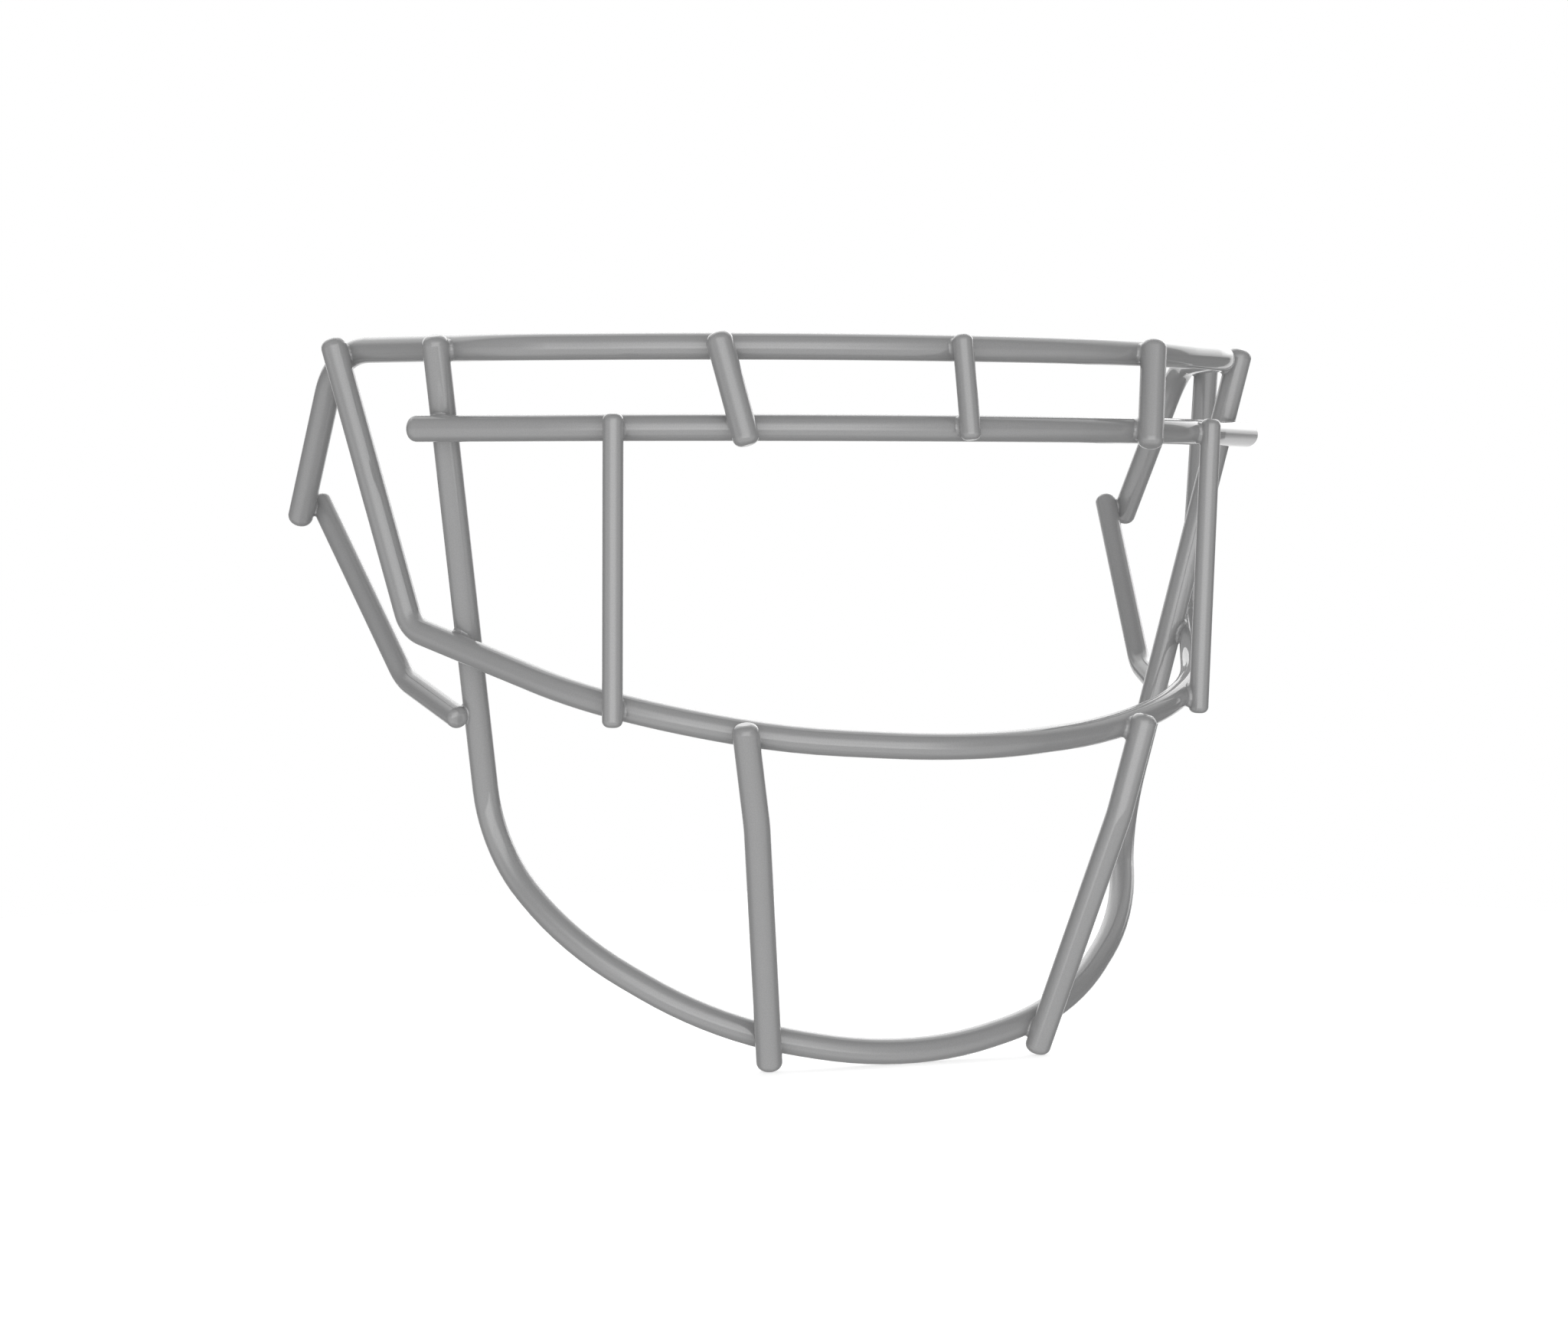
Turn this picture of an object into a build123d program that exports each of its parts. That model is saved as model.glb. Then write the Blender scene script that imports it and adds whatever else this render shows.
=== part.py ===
"""Football helmet facemask: thirteen bent round wires, welded at twenty-six crossings.

Millimetres. The mask stands upright, with -Y to the front and +Z up, and its left and right are
those of someone who looks at it from the front. Sides are measured from the middle plane, depths
backwards from the front of the brow bar, and heights upwards from the lowest point of the chin curve.
At the end everything is moved so that the origin is at the bottom centre of the box round the mask.
"""
from build123d import *
from collections import namedtuple
from math import radians, tan
import os

# Wire stock, coating included
wire_diameter = 6.35
thin_wire_diameter = 4.92
hook_wire_diameter = 5.62
end_round_share = 0.33

# Welds: how far two crossing wires are pressed into each other, and the bead that lies along the inner one
weld_sink = 0.62
bead_reach = 1.0
bead_height = 2.6
bead_rim = 0.3
bead_crown_share = 0.42
bead_width_share = 0.9
weld_zone_share = 3.0

# Brow bar: across the brow, round to the temples, then down to a free end
brow_bar_height = 172.0
temple_side = 119.7
temple_depth = 100.0
temple_bend_radius = 23.0
temple_rise = 0.7
temple_drop = 42.3
temple_set_back = 30.8
temple_draw_in = 0.6
brow_corner_shares = ((0.469, 0.105), (0.834, 0.422))
brow_sweep_shares = (0.98, 0.98, 0.44)

# Crossbar below it, whose free ends run past the posts of the chin wire
crossbar_drop = 19.0
crossbar_lead = 4.8
crossbar_corner_side = 66.7
crossbar_corner_depth = 10.5
crossbar_end_run = 6.7
crossbar_sweep_shares = (0.98, 0.98)

# Chin wire: the curve at the bottom and a long post at each side
chin_depth = 24.2
jaw_side = 88.2
jaw_depth = 77.0
jaw_height = 51.0
chin_corner_shares = ((0.537, 0.160, 0.178), (0.871, 0.582, 0.573))
chin_sweep_shares = (0.98, 0.98, 0.98, 0.92)
chin_post_depth = 57.4
chin_post_run = 4.3

# Middle wire: a sweep below the eye opening and a post at each side
middle_height = 77.5
middle_lead = 8.0
middle_side = 107.5
middle_depth = 79.6
middle_rise = 26.1
middle_corner_shares = ((0.381, 0.157, 0.090), (0.597, 0.268, 0.255), (0.785, 0.469, 0.480))
middle_sweep_shares = (0.98, 0.98, 0.98, 0.94)
middle_crossing_height = 101.3
middle_run_past_post = 13.4
middle_bend_radius = 7.0
middle_post_depth = 93.4
middle_post_run = 4.2

# Upright posts between the bars, by the side where they cross each bar
brow_post_top_side = 55.75
brow_post_bottom_side = 52.4
brow_post_top_run = 2.2
brow_post_bottom_run = 5.4
centre_post_bottom_run = 3.8
eye_post_top_side = 77.5
eye_post_bottom_side = 76.0
eye_post_top_run = 3.5
eye_post_bottom_run = 4.4
lower_post_top_side = 50.6
lower_post_bottom_share = 0.402
lower_post_top_run = 3.9
lower_post_bottom_run = 5.8
lower_kink_share = 0.275
lower_kink_forward = 2.4
lower_kink_radius = 24.0

# Side hooks, from the ends of the brow bar to the posts of the chin wire
hook_weld_sink = 0.1
hook_weld_above_end = 4.3
hook_top_run = 3.0
hook_bend_side = 104.2
hook_bend_depth = 94.5
hook_bend_height = 92.0
hook_bend_radius = 13.0
hook_crossing_height = 83.6
hook_end_run = 1.6

# The middle of the wearer's head, from which outwards is measured, as a share of the temple's depth
head_depth_share = 0.6

# Steps that narrow down a place on a wire, and rounds that settle a post on two bars
search_steps = 40
settle_rounds = 6

Crossing = namedtuple("Crossing", "lower upper point normal along size")
Spot = namedtuple("Spot", "point direction")
crossbar_height = brow_bar_height - crossbar_drop
crossings = []
paths = {}


def mirrored(point):
    return Vector(-point.X, point.Y, point.Z)


def sweep_radius(before, corner, after, share):
    """Bend radius that takes the given share of half the shorter run beside a corner."""
    runs = corner - before, after - corner
    turn = radians(runs[0].get_angle(runs[1]))
    return share * min(run.length for run in runs) / 2 / tan(turn / 2)


def symmetric_path(centre, right, sweep_shares, end_bend_radius=None):
    """A wire's centre line, from its corners on the right and one in the middle plane."""
    half = [mirrored(right[0]), centre] + right
    triples = zip(half, half[1:], half[2:])
    radii = [sweep_radius(*triple, share) for triple, share in zip(triples, sweep_shares)]
    if end_bend_radius:
        radii.append(end_bend_radius)
    corners = [mirrored(point) for point in reversed(right)] + half[1:]
    return FilletPolyline(*corners, radius=radii[:0:-1] + radii)


def place_on(path, reading, value):
    """The spot on a path's right half where a reading that grows outwards reaches a value."""
    low, high = 0.5, 1.0
    for _ in range(search_steps):
        middle = (low + high) / 2
        if reading(path @ middle) < value:
            low = middle
        else:
            high = middle
    return Spot(path @ low, path % low)


def at_side(path, side):
    return place_on(path, lambda point: point.X, side)


def at_depth(path, depth):
    return place_on(path, lambda point: point.Y, depth)


def outwards(point):
    return Vector(point.X, point.Y - temple_depth * head_depth_share, 0)


def seat(spot, other_direction, diameters, facing, sink=weld_sink):
    """Centre of a wire that crosses a spot on another one, pressed into it by the weld."""
    normal = spot.direction.cross(other_direction).normalized()
    if normal.dot(facing) < 0:
        normal = normal * -1
    return spot.point + normal * (sum(diameters) / 2 - sink), normal


def note_crossing(lower, upper, spot, normal, diameters, sink=weld_sink):
    """Remember where two wires meet, for the seat and for the weld bead."""
    point = spot.point + normal * ((diameters[0] - sink) / 2)
    crossings.append(Crossing(lower, upper, point, normal, spot.direction, diameters[1]))


def post_over_bars(name, bars, spots, diameters, runs):
    """Straight post on the outside of two bars, from the lower one's spot to the upper one's."""
    bottom, top = (spot.point for spot in spots)
    for _ in range(settle_rounds):
        direction = (top - bottom).normalized()
        bottom, bottom_normal = seat(spots[0], direction, (diameters[0], diameters[2]), outwards(bottom))
        top, top_normal = seat(spots[1], direction, (diameters[1], diameters[2]), outwards(top))
    note_crossing(bars[0], name, spots[0], bottom_normal, (diameters[0], diameters[2]))
    note_crossing(bars[1], name, spots[1], top_normal, (diameters[1], diameters[2]))
    return Line(bottom - direction * runs[0], top + direction * runs[1])


def rod(path, diameter):
    """Round wire along a path, with both ends rounded over."""
    profile = Plane(origin=path @ 0, z_dir=path % 0) * Circle(diameter / 2)
    solid = sweep(profile, path=path)
    ends = [edge for face in solid.faces().filter_by(GeomType.PLANE) for edge in face.edges()]
    return fillet(ends, end_round_share * diameter)


def brow_bar_path():
    corners = [
        Vector(side_share * temple_side, depth_share * temple_depth, brow_bar_height)
        for side_share, depth_share in brow_corner_shares
    ]
    temple = Vector(temple_side, temple_depth, brow_bar_height + temple_rise)
    corners += [temple, temple + Vector(-temple_draw_in, temple_set_back, -temple_drop)]
    return symmetric_path(Vector(0, 0, brow_bar_height), corners, brow_sweep_shares, temple_bend_radius)


def chin_wire_path():
    chin = Vector(0, chin_depth, 0)
    jaw = Vector(jaw_side, jaw_depth, jaw_height)
    corners = [
        chin + Vector(side * jaw.X, depth * (jaw.Y - chin.Y), height * jaw.Z)
        for side, depth, height in chin_corner_shares
    ]
    spot = at_depth(paths["brow_bar"], chin_post_depth)
    top = spot.point
    for _ in range(settle_rounds):
        direction = (top - jaw).normalized()
        top, normal = seat(spot, direction, (wire_diameter, wire_diameter), outwards(top))
    note_crossing("brow_bar", "chin_wire", spot, normal, (wire_diameter, wire_diameter))
    corners += [jaw, top + direction * chin_post_run]
    return symmetric_path(chin, corners, chin_sweep_shares), Spot(jaw, direction)


def post_spot(height):
    """The spot on the right post of the chin wire at a height."""
    rise = (height - chin_post.point.Z) / chin_post.direction.Z
    return Spot(chin_post.point + chin_post.direction * rise, chin_post.direction)


def over_chin_post(name, start, height, diameter):
    """Where a wire from a start point passes outside the chin wire's post, with its own centre at a height."""
    spot = post_spot(height)
    place = spot.point
    for _ in range(settle_rounds):
        direction = (place - start).normalized()
        place, normal = seat(spot, direction, (wire_diameter, diameter), outwards(place))
        spot = post_spot(spot.point.Z + height - place.Z)
    note_crossing("chin_wire", name, spot, normal, (wire_diameter, diameter))
    return place, direction


def crossbar_path():
    corner = Vector(crossbar_corner_side, crossbar_corner_depth, crossbar_height)
    place, direction = over_chin_post("crossbar", corner, crossbar_height, wire_diameter)
    right = [corner, place + direction * crossbar_end_run]
    return symmetric_path(Vector(0, -crossbar_lead, crossbar_height), right, crossbar_sweep_shares)


def middle_wire_path():
    front = Vector(0, -middle_lead, middle_height)
    corners = [
        front + Vector(side * middle_side, depth * (middle_depth + middle_lead), height * middle_rise)
        for side, depth, height in middle_corner_shares
    ]
    place, direction = over_chin_post("middle_wire", corners[-1], middle_crossing_height, wire_diameter)
    bend = place + direction * middle_run_past_post
    spot = at_depth(paths["brow_bar"], middle_post_depth)
    top = spot.point
    for _ in range(settle_rounds):
        direction = (top - bend).normalized()
        top, normal = seat(spot, direction, (wire_diameter, wire_diameter), outwards(top))
    note_crossing("brow_bar", "middle_wire", spot, normal, (wire_diameter, wire_diameter))
    corners += [bend, top + direction * middle_post_run]
    return symmetric_path(front, corners, middle_sweep_shares, middle_bend_radius)


def brow_post_path(name):
    return post_over_bars(
        name,
        ("crossbar", "brow_bar"),
        (at_side(paths["crossbar"], brow_post_bottom_side), at_side(paths["brow_bar"], brow_post_top_side)),
        (wire_diameter, wire_diameter, wire_diameter),
        (brow_post_bottom_run, brow_post_top_run),
    )


def centre_post_path(name):
    return post_over_bars(
        name,
        ("crossbar", "brow_bar"),
        (at_side(paths["crossbar"], 0), at_side(paths["brow_bar"], 0)),
        (wire_diameter, wire_diameter, thin_wire_diameter),
        (centre_post_bottom_run, brow_post_top_run),
    )


def eye_post_path(name):
    return post_over_bars(
        name,
        ("middle_wire", "crossbar"),
        (at_side(paths["middle_wire"], eye_post_bottom_side), at_side(paths["crossbar"], eye_post_top_side)),
        (wire_diameter, wire_diameter, thin_wire_diameter),
        (eye_post_bottom_run, eye_post_top_run),
    )


def lower_post_path(name):
    """Post from the middle wire to the chin curve, with a kink that stands forward."""
    stock = (wire_diameter, wire_diameter)
    top_spot = at_side(paths["middle_wire"], lower_post_top_side)
    bottom_spot = at_side(paths["chin_wire"], lower_post_bottom_share * jaw_side)
    top, bottom = top_spot.point, bottom_spot.point
    for _ in range(settle_rounds):
        kink = top + (bottom - top) * lower_kink_share - Vector(0, lower_kink_forward, 0)
        upper_run, lower_run = (top - kink).normalized(), (bottom - kink).normalized()
        top, top_normal = seat(top_spot, upper_run, stock, outwards(top))
        bottom, bottom_normal = seat(bottom_spot, lower_run, stock, outwards(bottom))
    note_crossing("middle_wire", name, top_spot, top_normal, stock)
    note_crossing("chin_wire", name, bottom_spot, bottom_normal, stock)
    ends = top + upper_run * lower_post_top_run, bottom + lower_run * lower_post_bottom_run
    return FilletPolyline(ends[0], kink, ends[1], radius=lower_kink_radius)


def side_hook_path(name):
    """Hook from the inner side of the brow bar's end to the outer side of the chin wire's post."""
    stock = (wire_diameter, hook_wire_diameter)
    bar = paths["brow_bar"]
    spot = Spot(bar @ 1 - (bar % 1) * hook_weld_above_end, bar % 1)
    bend = Vector(hook_bend_side, hook_bend_depth, hook_bend_height)
    top = spot.point
    for _ in range(settle_rounds):
        direction = (top - bend).normalized()
        top, normal = seat(spot, direction, stock, outwards(top) * -1, hook_weld_sink)
    note_crossing("brow_bar", name, spot, normal, stock, hook_weld_sink)
    place, run = over_chin_post(name, bend, hook_crossing_height, hook_wire_diameter)
    ends = top + direction * hook_top_run, place + run * hook_end_run
    return FilletPolyline(ends[0], bend, ends[1], radius=hook_bend_radius)


def across(crossing):
    """The plane between two crossing wires, with its X along the lower one."""
    return Plane(origin=crossing.point, x_dir=crossing.along, z_dir=crossing.normal)


def bead(crossing):
    """Weld metal: two flat cones base to base, kept to the lower wire's width, before the wires cut them."""
    crown = bead_crown_share * crossing.size
    reach = crossing.size / 2 + bead_reach
    side = Polyline(
        (0, 0, bead_height / 2),
        (crown, 0, bead_height / 2),
        (reach, 0, bead_rim / 2),
        (reach, 0, -bead_rim / 2),
        (crown, 0, -bead_height / 2),
        (0, 0, -bead_height / 2),
        close=True,
    )
    cones = revolve(make_face(side), axis=Axis.Z)
    return across(crossing) * (cones & Box(2 * reach, bead_width_share * wire_diameter, bead_height))


def stretch_at(crossing, wire):
    """The stretch of a wire that passes a crossing."""
    reach = weld_zone_share * (crossing.size / 2 + bead_reach)
    return wire & across(crossing) * Box(reach, reach, reach)


paths["brow_bar"] = brow_bar_path()
paths["chin_wire"], chin_post = chin_wire_path()
paths["crossbar"] = crossbar_path()
paths["middle_wire"] = middle_wire_path()
bars = tuple(paths)
rods = {name: rod(path, wire_diameter) for name, path in paths.items()}

# The posts and hooks are made once, on the right or in the middle
rods["brow_post_centre"] = rod(centre_post_path("brow_post_centre"), thin_wire_diameter)
rods["brow_post"] = rod(brow_post_path("brow_post"), wire_diameter)
rods["eye_post"] = rod(eye_post_path("eye_post"), thin_wire_diameter)
rods["lower_post"] = rod(lower_post_path("lower_post"), wire_diameter)
rods["side_hook"] = rod(side_hook_path("side_hook"), hook_wire_diameter)

# The outer wire of each crossing is seated on the inner one, and a bead fills the corners between
seated = dict(rods)
one_sided = {}
for crossing in crossings:
    lower, upper = (stretch_at(crossing, rods[name]) for name in (crossing.lower, crossing.upper))
    one_sided[f"weld_{crossing.lower}_{crossing.upper}"] = bead(crossing) - lower - upper
    seated[crossing.upper] -= lower
    if crossing.upper in bars:
        seated[crossing.upper] -= mirror(lower, about=Plane.YZ)

pieces = {}
for name, part in (seated | one_sided).items():
    if name in bars or name.endswith("_centre"):
        pieces[name] = part
    else:
        pieces[f"{name}_right"] = part
        pieces[f"{name}_left"] = mirror(part, about=Plane.YZ)

box = Compound(children=[solid for part in pieces.values() for solid in part.solids()]).bounding_box()
to_origin = Vector(-box.center().X, -box.center().Y, -box.min.Z)

os.makedirs("parts", exist_ok=True)
for name, part in pieces.items():
    export_step(Pos(to_origin) * part, f"parts/{name}.step")

print(f"size {box.size.X:.1f} x {box.size.Y:.1f} x {box.size.Z:.1f} mm, {len(pieces)} pieces")
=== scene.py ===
# Football facemask: bent round wires, welded where they cross and powder coated in one neutral grey.
# It stands upright on white, as it was photographed, seen from the viewer's left.
import bpy
import bmesh
from math import cos, radians, sin
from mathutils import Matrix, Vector


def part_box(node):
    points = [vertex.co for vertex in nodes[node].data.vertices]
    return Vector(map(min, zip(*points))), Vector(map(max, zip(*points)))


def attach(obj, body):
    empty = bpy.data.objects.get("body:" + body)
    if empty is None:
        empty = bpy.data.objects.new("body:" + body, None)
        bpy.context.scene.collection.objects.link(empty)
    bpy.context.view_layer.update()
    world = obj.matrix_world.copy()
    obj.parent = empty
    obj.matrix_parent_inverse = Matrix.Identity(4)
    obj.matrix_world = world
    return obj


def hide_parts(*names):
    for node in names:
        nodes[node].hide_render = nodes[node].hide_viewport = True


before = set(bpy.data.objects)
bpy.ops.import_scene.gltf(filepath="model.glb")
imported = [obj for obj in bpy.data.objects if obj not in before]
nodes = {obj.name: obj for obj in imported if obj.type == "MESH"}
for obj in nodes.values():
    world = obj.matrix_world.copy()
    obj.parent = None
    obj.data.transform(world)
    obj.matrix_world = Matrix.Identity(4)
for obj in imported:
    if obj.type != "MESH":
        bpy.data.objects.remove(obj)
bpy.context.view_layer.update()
mm = 0.001
print("frame loaded:", len(nodes), "nodes")

# the photograph's width and the eye point that its outlines give
photo = {
    "width": 2048,                          # pixels
    "focal": 5548.5,                        # pixels
    "sensor": 36.0,                         # millimetres
    "eye": (-0.46543, -0.95354, 0.13799),
    "turn": 25.218,                         # degrees, towards the viewer's left
    "tilt": 2.372,                          # degrees, looking down
    "near": 0.05,                           # the camera sees nothing closer
    "far": 50.0,                            # or further
}


# a socket that can be added, multiplied and compared, so shader maths reads as maths
class Soc:
    def __init__(self, tree, out):
        self.tree, self.out = tree, out

    def maths(self, operation, *values):
        return Graph(self.tree).node("ShaderNodeMath", {"operation": operation}, values)

    def __add__(self, other):
        return self.maths("ADD", self, other)

    def __radd__(self, other):
        return self.maths("ADD", other, self)

    def __sub__(self, other):
        return self.maths("SUBTRACT", self, other)

    def __rsub__(self, other):
        return self.maths("SUBTRACT", other, self)

    def __mul__(self, other):
        return self.maths("MULTIPLY", self, other)

    def __rmul__(self, other):
        return self.maths("MULTIPLY", other, self)

    def __neg__(self):
        return self.maths("MULTIPLY", self, -1.0)

    def larger(self, other):
        return self.maths("MAXIMUM", self, other)


# one way to make any node: its type, the settings made first, then values or links by place or by name
class Graph:
    def __init__(self, tree):
        self.tree = tree

    def node(self, kind, settings=None, inputs=(), output=0):
        made = self.tree.nodes.new(kind)
        for key, value in (settings or {}).items():
            setattr(made, key, value)
        pairs = inputs.items() if isinstance(inputs, dict) else enumerate(inputs)
        for key, value in pairs:
            if isinstance(value, Soc):
                self.join(value, made, key)
            else:
                made.inputs[key].default_value = value
        return Soc(self.tree, made.outputs[output])

    def join(self, value, made, name):
        self.tree.links.new(value.out, made.inputs[name])

    def rise(self, value, low, high):
        # 0 below low, 1 above high, eased between
        names = {"Value": value, "From Min": low, "From Max": high, "To Min": 0.0, "To Max": 1.0}
        return self.node("ShaderNodeMapRange", {"interpolation_type": "SMOOTHSTEP"}, names)

    def fall(self, value, low, high):
        return 1.0 - self.rise(value, low, high)


# powder coat: a satin grey under a clear glossy skin, with the fine speckle of the powder in it
coat = {
    "grey": (0.313, 0.313, 0.315, 1.0),
    "dark": (0.275, 0.275, 0.277, 1.0),
    "grain": 4200.0,            # specks of the powder, per metre
    "grainDetail": 2.0,
    "speck": (0.40, 0.60),      # how sharply the specks stand out
    "speckShare": 0.55,
    "clouds": 55.0,             # slow change of thickness, per metre
    "cloudDetail": 3.0,
    "cloudShare": 0.45,
    "roughness": 0.46,
    "roughnessSpread": 0.10,
    "bump": 0.05,
    "bumpDepth": 0.1 * mm,
    "bend": 1.5,                # how strongly the grey bends light
    "skin": 1.0,
    "skinGloss": 0.03,
    "skinBend": 1.85,
}


def makePowderCoat(name, look):
    material = bpy.data.materials.new(name)
    material.use_nodes = True
    shader = material.node_tree.nodes["Principled BSDF"]
    graph = Graph(material.node_tree)
    place = graph.node("ShaderNodeTexCoord", output="Object")
    grain = graph.node("ShaderNodeTexNoise", {},
                       {"Vector": place, "Scale": look["grain"], "Detail": look["grainDetail"]})
    clouds = graph.node("ShaderNodeTexNoise", {},
                        {"Vector": place, "Scale": look["clouds"], "Detail": look["cloudDetail"]})
    light = look["speckShare"] * graph.rise(grain, *look["speck"]) + look["cloudShare"] * clouds
    colour = graph.node("ShaderNodeMix", {"data_type": "RGBA"},
                        {0: light, 6: look["dark"], 7: look["grey"]}, output=2)
    bump = graph.node("ShaderNodeBump", {},
                      {"Strength": look["bump"], "Distance": look["bumpDepth"], "Height": grain})
    graph.join(colour, shader, "Base Color")
    graph.join(look["roughness"] + look["roughnessSpread"] * (clouds - 0.5), shader, "Roughness")
    graph.join(bump, shader, "Normal")
    shader.inputs["IOR"].default_value = look["bend"]
    shader.inputs["Coat Weight"].default_value = look["skin"]
    shader.inputs["Coat Roughness"].default_value = look["skinGloss"]
    shader.inputs["Coat IOR"].default_value = look["skinBend"]
    return material


powderCoat = makePowderCoat("powderCoat", coat)
weldCoat = makePowderCoat("weldCoat", coat)
for name, node in nodes.items():
    node.data.materials.clear()
    node.data.materials.append(weldCoat if name.startswith("weld_") else powderCoat)
print("coat on", len(nodes), "nodes")

# weld fillets: at each crossing the coat runs over the weld in a small smooth hollow
fillet = {
    "hollow": 0.42 * mm,        # radius of the hollow: the wires swell by it, join, and shrink back
    "rounds": 10,               # of smoothing
    "bare": ("hook", "chin_wire_lower", "bar_middle_wire"),    # words in the names of bare seams
    "bareHollow": 0.12 * mm,
    "bareRounds": 4,
    "pull": 0.5,                # of each smoothing round
    "around": 2.0 * mm,         # wire kept beyond the bead's box
    "spare": 3.0 * mm,          # more of it while the hollow is made
    "under": 0.05 * mm,         # sinks the rest of the piece just below the wires
    "voxel": 0.20 * mm,
    "merge": 0.001 * mm,        # vertices closer than this are one
    "exact": 0.0001 * mm,       # how near to a cut counts as on it
}


def wiresOf(weld):
    # the two wires that a weld joins, from its name
    rest = weld.removeprefix("weld_")
    wires = [name for name in nodes if not name.startswith("weld_")]
    lower = next(name for name in wires if rest.startswith(name + "_"))
    upper = rest.removeprefix(lower + "_")
    return lower, upper if upper in nodes else upper.rpartition("_")[0]


def keepBox(bm, low, high, look):
    # cuts a mesh to a box and closes what the cuts open
    for axis in range(3):
        for place, way in ((low, -1), (high, 1)):
            normal = Vector([way * (axis == k) for k in range(3)])
            everything = bm.verts[:] + bm.edges[:] + bm.faces[:]
            cut = bmesh.ops.bisect_plane(bm, geom=everything, dist=look["exact"], plane_co=place,
                                         plane_no=normal, clear_outer=True)
            rim = [part for part in cut["geom_cut"] if isinstance(part, bmesh.types.BMEdge)]
            bmesh.ops.edgeloop_fill(bm, edges=rim)


def dropCrumbs(bm, look):
    # keeps the largest connected part of a mesh
    bmesh.ops.dissolve_degenerate(bm, dist=look["exact"], edges=bm.edges[:])
    left, parts = set(bm.verts), []
    while left:
        part, reached = set(), [left.pop()]
        while reached:
            vert = reached.pop()
            part.add(vert)
            near = {link.other_vert(vert) for link in vert.link_edges} & left
            left -= near
            reached.extend(near)
        parts.append(part)
    parts.sort(key=len)
    crumbs = [vert for part in parts[:-1] for vert in part]
    bmesh.ops.delete(bm, geom=crumbs, context="VERTS")


def addWire(both, name, low, high, look):
    # a merged copy of one wire, cut to the box round a crossing
    wire = bmesh.new()
    wire.from_mesh(nodes[name].data)
    bmesh.ops.remove_doubles(wire, verts=wire.verts[:], dist=look["merge"])
    keepBox(wire, low, high, look)
    mesh = bpy.data.meshes.new("stretch")
    wire.to_mesh(mesh)
    wire.free()
    both.from_mesh(mesh)
    bpy.data.meshes.remove(mesh)


def joinWires(mesh, hollow, rounds, look):
    # the mesh swells, joins, shrinks back and is smoothed
    rough = bpy.data.objects.new("stretch", mesh)
    bpy.context.scene.collection.objects.link(rough)
    for step, swell in (("join", hollow), ("settle", -hollow - look["under"])):
        remesh = rough.modifiers.new(step, "REMESH")
        remesh.mode = "VOXEL"
        remesh.voxel_size = look["voxel"]
        offset = rough.modifiers.new(step + " offset", "DISPLACE")
        offset.mid_level = 0.0
        offset.strength = swell
    smooth = rough.modifiers.new("smooth", "SMOOTH")
    smooth.factor, smooth.iterations = look["pull"], rounds
    made = bpy.data.meshes.new_from_object(rough.evaluated_get(bpy.context.evaluated_depsgraph_get()))
    bpy.data.objects.remove(rough)
    return made


def makeFillet(weld, look):
    low, high = (Vector(corner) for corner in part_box(weld))
    margin = Vector((1, 1, 1)) * look["around"]
    low, high = low - margin, high + margin
    spare = Vector((1, 1, 1)) * look["spare"]
    bm = bmesh.new()
    for wire in wiresOf(weld):
        addWire(bm, wire, low - spare, high + spare, look)
    mesh = bpy.data.meshes.new("stretch")
    bm.to_mesh(mesh)
    bm.free()
    if any(word in weld for word in look["bare"]):
        made = joinWires(mesh, look["bareHollow"], look["bareRounds"], look)
    else:
        made = joinWires(mesh, look["hollow"], look["rounds"], look)
    bm = bmesh.new()
    bm.from_mesh(made)
    keepBox(bm, low, high, look)
    dropCrumbs(bm, look)
    bm.to_mesh(made)
    bm.free()
    made.name = weld.replace("weld", "fillet", 1)
    made.shade_smooth()
    made.materials.clear()
    made.materials.append(weldCoat)
    piece = bpy.data.objects.new(made.name, made)
    bpy.context.scene.collection.objects.link(piece)
    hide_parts(weld)
    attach(piece, "root")
    return piece


fillets = [makeFillet(name, fillet) for name in sorted(nodes) if name.startswith("weld_")]
print("fillets:", len(fillets), "with", max(len(piece.data.polygons) for piece in fillets), "faces at most")

# a table top of white paper for the camera, which keeps the mask's shadow; the mask is lit through it
paper = {
    "reach": 0.42,
    "segments": 128,
    "rim": 0.40,                            # beyond this, gloss and glass see it as the camera does
    "white": (0.90, 0.90, 0.90, 1.0),
    "glow": (0.55, 0.55, 0.55, 1.0),        # brings it to plain white in the picture, shadow kept
    "roughness": 0.9,
}


def raysOf(graph):
    # the camera's rays, then those that gloss and glass send on
    camera, gloss, glass = (graph.node("ShaderNodeLightPath", output=name) for name in
                            ("Is Camera Ray", "Is Glossy Ray", "Is Transmission Ray"))
    return camera, gloss.larger(glass)


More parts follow.
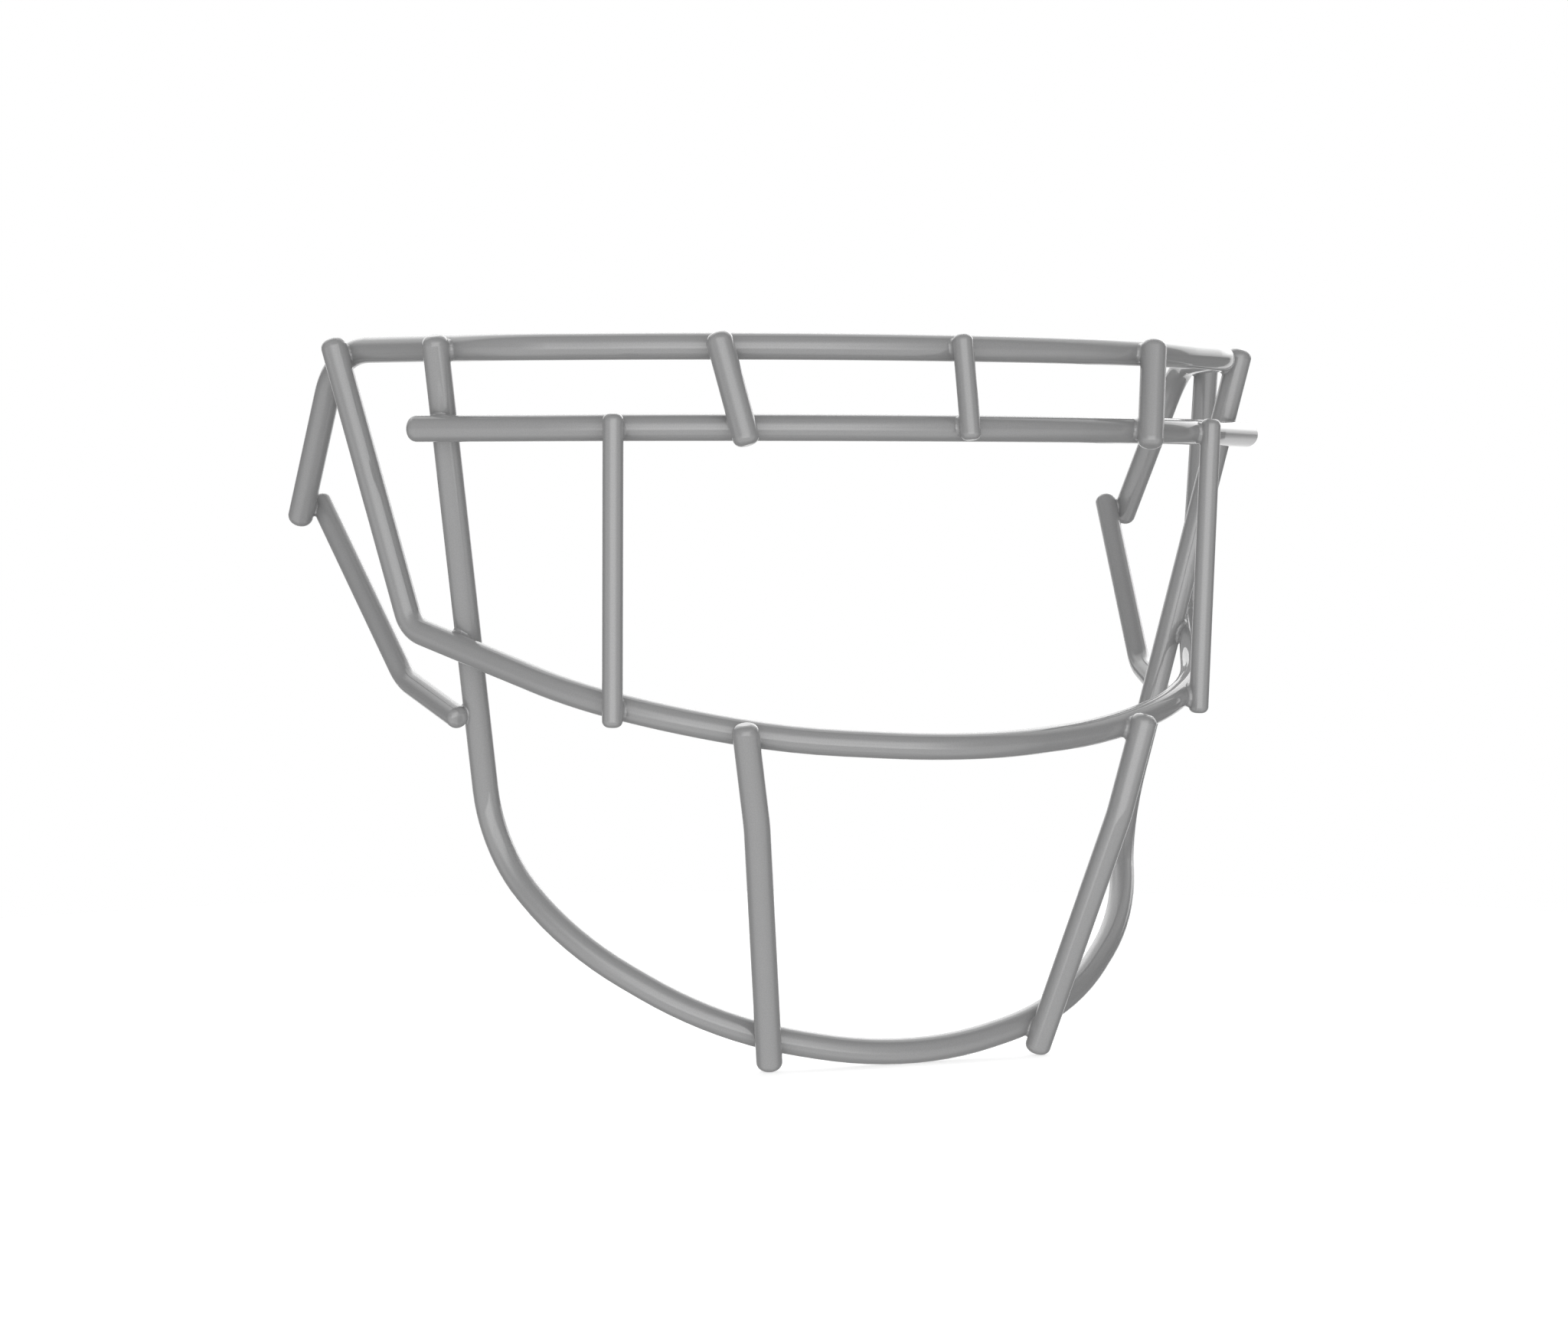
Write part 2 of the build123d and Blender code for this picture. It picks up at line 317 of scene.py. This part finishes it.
def makePaper(look):
    mesh = bpy.data.meshes.new("paper")
    bm = bmesh.new()
    bmesh.ops.create_circle(bm, cap_ends=True, segments=look["segments"], radius=look["reach"])
    bm.to_mesh(mesh)
    bm.free()
    floor = bpy.data.objects.new("paper", mesh)
    bpy.context.scene.collection.objects.link(floor)
    material = bpy.data.materials.new("paper")
    material.use_nodes = True
    tree = material.node_tree
    shader = tree.nodes["Principled BSDF"]
    graph = Graph(tree)
    place = graph.node("ShaderNodeTexCoord", output="Object")
    distance = graph.node("ShaderNodeVectorMath", {"operation": "LENGTH"}, {0: place}, output="Value")
    camera, mirror = raysOf(graph)
    seen = camera.larger(mirror * graph.rise(distance, look["rim"], look["reach"]))
    clear = graph.node("ShaderNodeBsdfTransparent")
    shown = graph.node("ShaderNodeMixShader", {}, {0: seen, 1: clear, 2: Soc(tree, shader.outputs[0])})
    graph.join(shown, tree.nodes["Material Output"], "Surface")
    shader.inputs["Base Color"].default_value = look["white"]
    shader.inputs["Roughness"].default_value = look["roughness"]
    shader.inputs["Specular IOR Level"].default_value = 0.0
    shader.inputs["Emission Color"].default_value = look["glow"]
    shader.inputs["Emission Strength"].default_value = 1.0
    mesh.materials.append(material)


makePaper(paper)
print("paper laid")

# the studio, as the light that comes from each direction. Up, side and front are the parts of a direction
# of length 1: front is towards the camera, and side is the viewer's right. A pair of numbers is where a
# light begins to show or to fade, and where it is full or gone.
studio = {
    "white": 1.0,                       # the paper behind, for the camera, gloss and glass
    "paperEdge": (-0.865, -0.805),
    "paperLean": 0.654,
    "sides": 0.159,                     # dim light all round
    "sideTilt": -0.060,
    "front": 0.315,                     # more of it from the front
    "frontEdge": (-0.35, 0.35),
    "box": 1.061,                       # a big soft box in front, brighter on the right
    "boxMiddle": -0.050,
    "boxTilt": 0.27,
    "boxTiltFoot": (-0.05, 0.20),
    "boxLeft": (0.198, 0.690),
    "boxRight": (0.434, 0.889),
    "boxFoot": (-0.368, -0.337),
    "boxTop": (0.287, 0.764),
    "boxDepth": (0.0, 0.25),
    "rear": 0.900,                      # a lamp above and behind
    "rearTilt": -0.285,
    "rearFoot": (0.342, 0.745),
    "rearFront": (-0.352, -0.053),
    "rim": 1.370,                       # a strip of light low behind
    "rimFoot": (0.081, 0.226),
    "rimFront": (-0.851, -0.485),
    "window": 0.941,                    # a window behind on the right
    "windowFoot": (0.020, 0.080),
    "windowTop": (0.418, 0.718),
    "windowFront": (-0.574, -0.524),
    "windowSide": (0.05, 0.25),
    "table": 0.278,                     # the table top in front, brighter further down
    "tableTilt": 0.80,
    "tableMiddle": 0.35,
    "tableDepth": (-0.949, -0.857),
    "tableTop": (0.0, 0.05),
    "tableFront": (-0.20, 0.30),
    "below": 0.129,                     # a little light from below and behind
    "belowTop": (-0.25, 0.05),
    "belowFront": (-0.10, 0.35),
}


def makeStudio(look):
    world = bpy.data.worlds.new("studio")
    bpy.context.scene.world = world
    world.use_nodes = True
    graph = Graph(world.node_tree)
    rise, fall = graph.rise, graph.fall
    turn = radians(photo["turn"])
    way = graph.node("ShaderNodeTexCoord", output="Generated")
    up, side, front = (
        graph.node("ShaderNodeVectorMath", {"operation": "DOT_PRODUCT"}, {0: way, 1: axis}, output="Value")
        for axis in ((0, 0, 1), (cos(turn), -sin(turn), 0), (-sin(turn), -cos(turn), 0)))

    off = side - look["boxMiddle"]
    box = look["box"] * fall(-off, *look["boxLeft"]) * fall(off, *look["boxRight"])
    box = box * rise(up, *look["boxFoot"]) * fall(up, *look["boxTop"]) * rise(front, *look["boxDepth"])
    box = box * (1.0 + look["boxTilt"] * off * rise(up, *look["boxTiltFoot"]))
    rear = look["rear"] * rise(up, *look["rearFoot"]) * fall(front, *look["rearFront"])
    rear = rear * (1.0 + look["rearTilt"] * side)
    rim = look["rim"] * rise(up, *look["rimFoot"]) * fall(front, *look["rimFront"])
    window = look["window"] * rise(up, *look["windowFoot"]) * fall(up, *look["windowTop"])
    window = window * rise(side, *look["windowSide"]) * fall(front, *look["windowFront"])
    table = look["table"] * rise(up, *look["tableDepth"]) * rise(-up, *look["tableTop"])
    table = table * rise(front, *look["tableFront"]) * (1.0 - look["tableTilt"] * (look["tableMiddle"] + up))
    below = look["below"] * fall(up, *look["belowTop"]) * fall(front, *look["belowFront"])
    sides = look["sides"] + look["sideTilt"] * side + look["front"] * rise(front, *look["frontEdge"])
    light = sides + box + rear + rim + window + table + below

    backdrop = fall(front - look["paperLean"] * up.larger(0.0), *look["paperEdge"])
    camera, mirror = raysOf(graph)
    light = light.larger(look["white"] * backdrop * mirror)
    background = world.node_tree.nodes["Background"]
    background.inputs["Color"].default_value = (1, 1, 1, 1)
    graph.join(light + camera * (look["white"] - light), background, "Strength")


makeStudio(studio)


def makeCamera(look):
    data = bpy.data.cameras.new("camera")
    data.sensor_width = look["sensor"]
    data.lens = look["sensor"] * look["focal"] / look["width"]
    data.clip_start, data.clip_end = look["near"], look["far"]
    camera = bpy.data.objects.new("camera", data)
    bpy.context.scene.collection.objects.link(camera)
    camera.location = look["eye"]
    camera.rotation_euler = (radians(90 - look["tilt"]), 0, -radians(look["turn"]))
    bpy.context.scene.camera = camera


makeCamera(photo)
bpy.context.scene.view_settings.view_transform = "Standard"
print("studio and camera ready")
